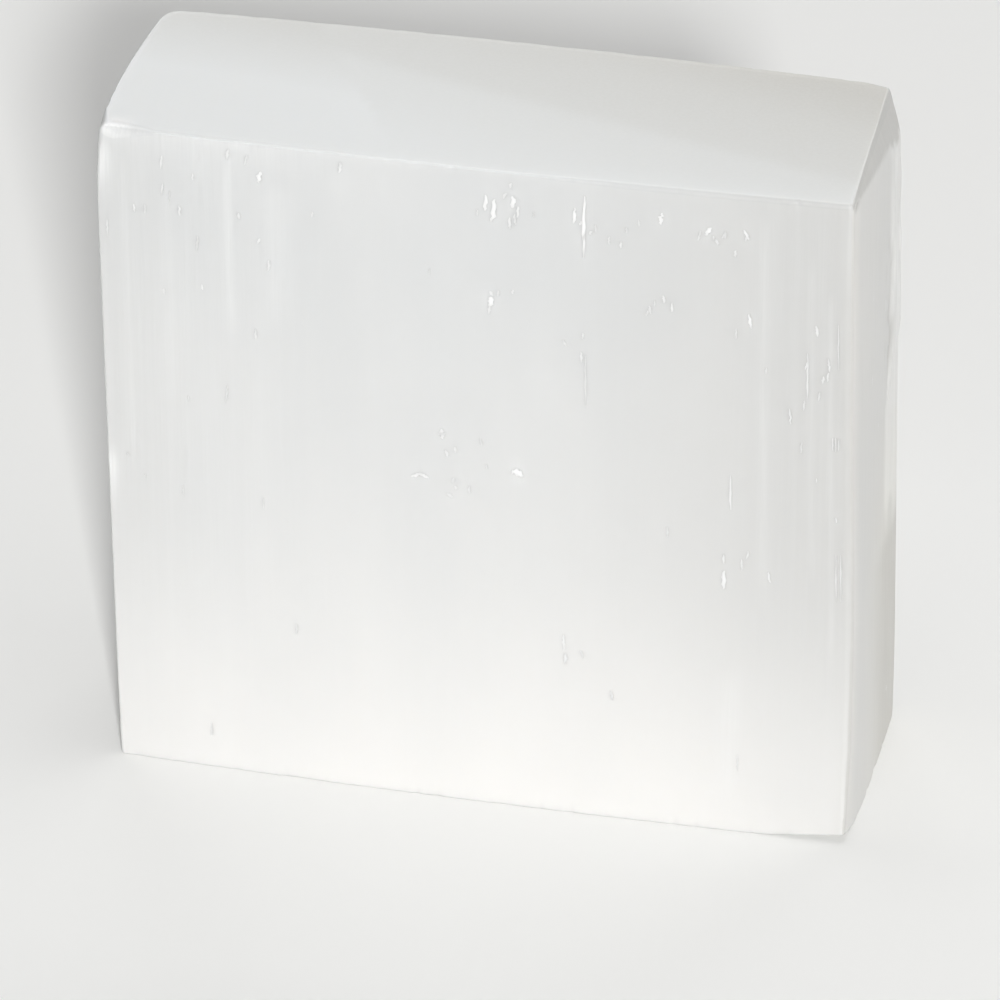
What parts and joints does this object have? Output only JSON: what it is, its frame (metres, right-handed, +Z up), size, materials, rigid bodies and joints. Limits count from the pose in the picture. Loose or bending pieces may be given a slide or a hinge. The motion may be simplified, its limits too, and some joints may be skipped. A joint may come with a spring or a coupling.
{
  "type": "satin spar block",
  "caption": "Solid upright block of fibrous white mineral with crowned long faces, eased edges and flat sawn ends that it stands on.",
  "frame": {"origin": "middle of the bottom face of the block's bounding box, on the surface it stands on", "axes": "+X along the width, -Y out of the front face, +Z up along the fibres"},
  "size_m": [0.0999, 0.036, 0.0936],
  "materials": {
    "mineral": "satin, fibrous and slightly translucent, with matt sawn ends"
  },
  "bodies": {
    "root": {"block": "mineral"}
  },
  "joints": []
}
